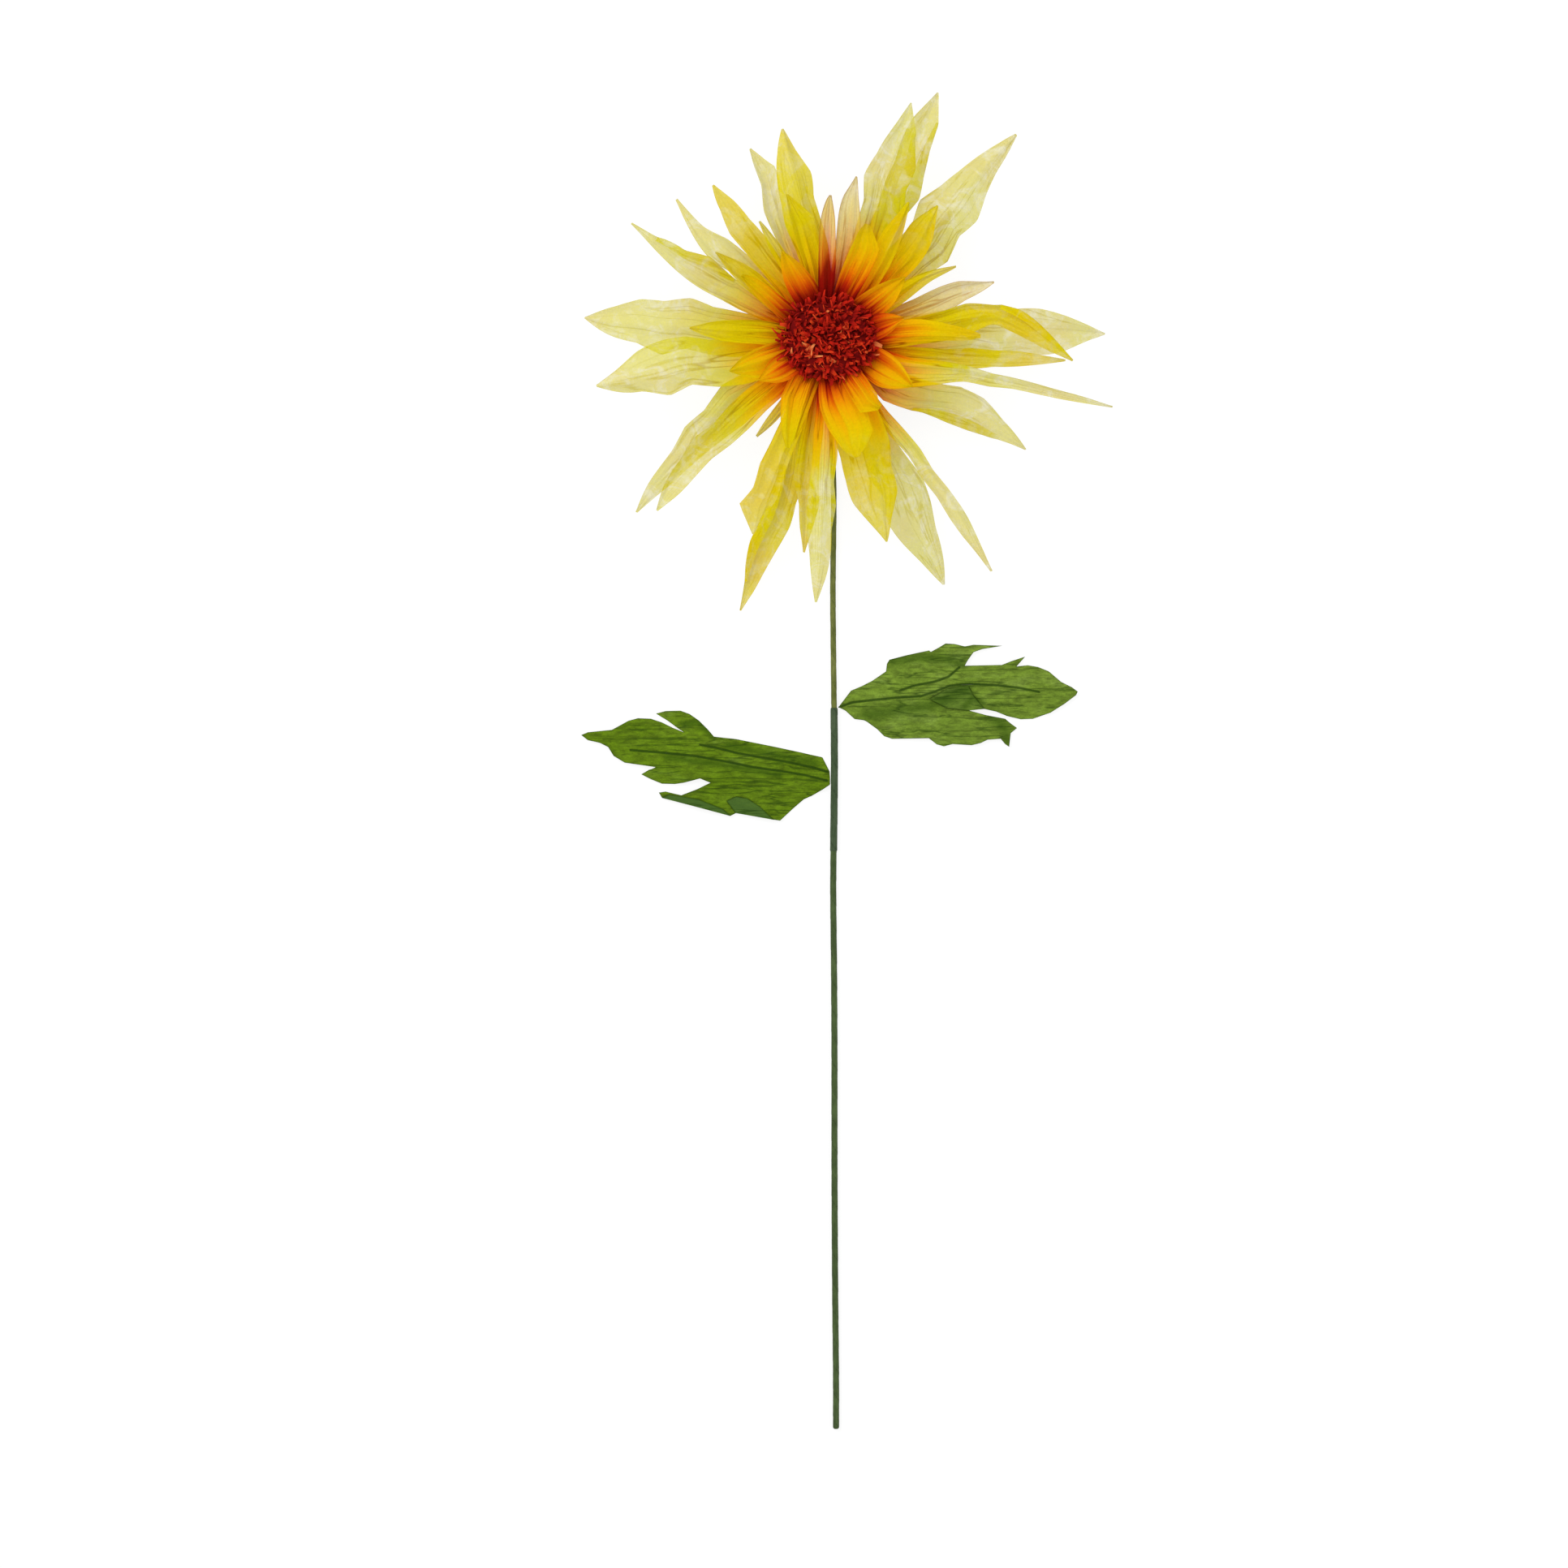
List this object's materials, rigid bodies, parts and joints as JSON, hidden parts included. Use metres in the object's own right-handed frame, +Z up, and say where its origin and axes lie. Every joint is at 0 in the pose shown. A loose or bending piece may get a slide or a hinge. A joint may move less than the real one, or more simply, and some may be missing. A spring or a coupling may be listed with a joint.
{
  "type": "paper flower",
  "caption": "Large paper flower lying face up: cut tissue petals in rounds about a rolled fringe centre, on a long taped wire stem with two cut paper leaves.",
  "frame": {"origin": "middle of the underside of the flower's bounding box, on the table that it lies on", "axes": "+Z up, the way the flower's face looks; +Y along the stem from its cut end to the head; +X to the right seen from above"},
  "size_m": [0.3272, 0.8282, 0.0642],
  "materials": {
    "pale_petal_paper": "matte",
    "yellow_petal_paper": "matte",
    "orange_petal_paper": "matte",
    "rose_petal_paper": "matte",
    "red_fringe_paper": "matte",
    "green_leaf_paper": "matte",
    "green_stem_tape": "matte",
    "olive_stem_tape": "matte",
    "stem_wire": "satin",
    "green_leaf_wire": "matte",
    "binding_thread": "matte"
  },
  "bodies": {
    "root": {"back_petal_01": "pale_petal_paper", "back_petal_02": "pale_petal_paper", "back_petal_03": "pale_petal_paper", "back_petal_04": "pale_petal_paper", "back_petal_05": "pale_petal_paper", "back_petal_06": "pale_petal_paper", "back_petal_07": "yellow_petal_paper", "back_petal_08": "pale_petal_paper", "back_petal_09": "pale_petal_paper", "back_petal_10": "pale_petal_paper", "long_petal_01": "rose_petal_paper", "long_petal_02": "orange_petal_paper", "long_petal_03": "pale_petal_paper", "long_petal_04": "yellow_petal_paper", "long_petal_05": "yellow_petal_paper", "long_petal_06": "pale_petal_paper", "long_petal_07": "pale_petal_paper", "long_petal_08": "pale_petal_paper", "long_petal_09": "yellow_petal_paper", "long_petal_10": "yellow_petal_paper", "long_petal_11": "yellow_petal_paper", "long_petal_12": "pale_petal_paper", "long_petal_13": "yellow_petal_paper", "middle_petal_01": "yellow_petal_paper", "middle_petal_02": "orange_petal_paper", "middle_petal_03": "rose_petal_paper", "middle_petal_04": "yellow_petal_paper", "middle_petal_05": "yellow_petal_paper", "middle_petal_06": "yellow_petal_paper", "middle_petal_07": "yellow_petal_paper", "middle_petal_08": "yellow_petal_paper", "middle_petal_09": "pale_petal_paper", "middle_petal_10": "pale_petal_paper", "middle_petal_11": "yellow_petal_paper", "short_petal_01": "orange_petal_paper", "short_petal_02": "orange_petal_paper", "short_petal_03": "rose_petal_paper", "short_petal_04": "orange_petal_paper", "short_petal_05": "yellow_petal_paper", "short_petal_06": "yellow_petal_paper", "inner_petal_01": "yellow_petal_paper", "short_petal_07": "orange_petal_paper", "short_petal_08": "orange_petal_paper", "short_petal_09": "orange_petal_paper", "short_petal_10": "orange_petal_paper", "inner_petal_02": "orange_petal_paper", "inner_petal_03": "orange_petal_paper", "stem_wire": "stem_wire", "lower_stem_wrap": "green_stem_tape", "joint_wrap": "green_stem_tape", "upper_stem_wrap": "olive_stem_tape", "head_wrap": "green_stem_tape", "binding_thread": "binding_thread", "fringe_centre": "red_fringe_paper", "left_leaf": "green_leaf_paper", "right_leaf": "green_leaf_paper", "left_leaf_wire": "green_leaf_wire", "right_leaf_wire": "green_leaf_wire"}
  },
  "joints": []
}
